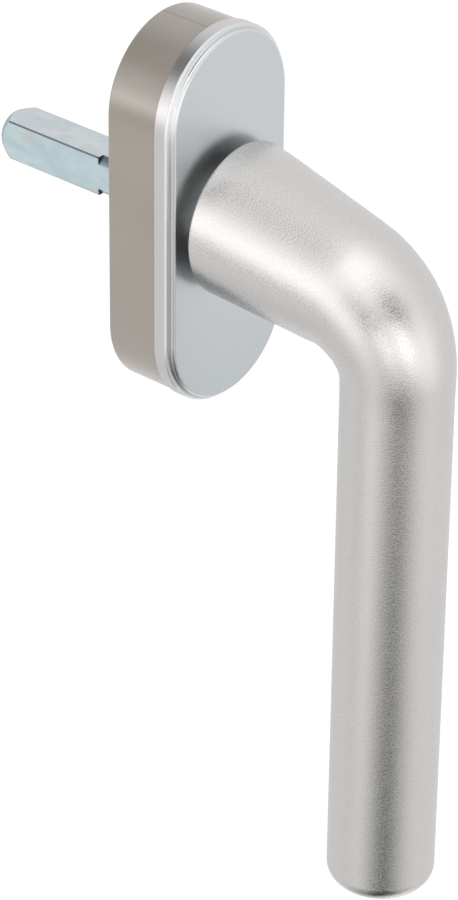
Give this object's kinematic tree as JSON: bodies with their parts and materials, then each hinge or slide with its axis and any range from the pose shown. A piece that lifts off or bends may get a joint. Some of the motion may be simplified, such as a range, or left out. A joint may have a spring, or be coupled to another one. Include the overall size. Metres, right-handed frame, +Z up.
{
  "type": "window handle",
  "caption": "Tilt-and-turn window handle with a bent cylindrical lever on an oval rosette, a lift-off metal cover and a square spindle behind.",
  "frame": {"origin": "on the spindle's axis, at the back face of the rosette's base, where it lies on the window frame", "axes": "+Y along the spindle into the window frame, so the room is towards -Y; +Z up, with the lever hanging down at rest; +X to the right for someone who faces the handle"},
  "size_m": [0.029, 0.0914, 0.1479],
  "materials": {
    "base_plastic": "warm grey moulded plastic",
    "bearing_plastic": "natural acetal",
    "spring_steel": "spring steel",
    "plated_steel": "zinc plated",
    "blasted_aluminium": "fine bead-blasted",
    "spindle_steel": "blue-white zinc plated",
    "satin_aluminium": "satin anodised",
    "dark_plastic": "dark moulded plastic"
  },
  "bodies": {
    "frame_side": {"base": "base_plastic", "guide_bush": "bearing_plastic", "thrust_washer": "bearing_plastic", "detent_spring_left": "spring_steel", "detent_spring_right": "spring_steel", "back_plate": "plated_steel", "plate_screw_1": "plated_steel", "plate_screw_2": "plated_steel", "plate_screw_3": "plated_steel", "plate_screw_4": "plated_steel"},
    "lever_side": {"lever": "blasted_aluminium", "detent_cam": "plated_steel", "end_washer": "plated_steel", "retaining_ring": "spring_steel", "spindle": "spindle_steel", "spindle_pin": "spring_steel"},
    "cap_side": {"cover_cap": "satin_aluminium", "cap_ring": "dark_plastic"}
  },
  "joints": [
    {"name": "lever_turn", "type": "hinge", "parent": "frame_side", "child": "lever_side", "pos_m": [0, 0, 0], "axis": [0, 1, 0], "continuous": true, "deforming": ["detent_spring_left", "detent_spring_right"]},
    {"name": "cover_lift", "type": "slide", "parent": "frame_side", "child": "cap_side", "axis": [0, -1, 0], "range_m": [0, 0.0018]}
  ]
}
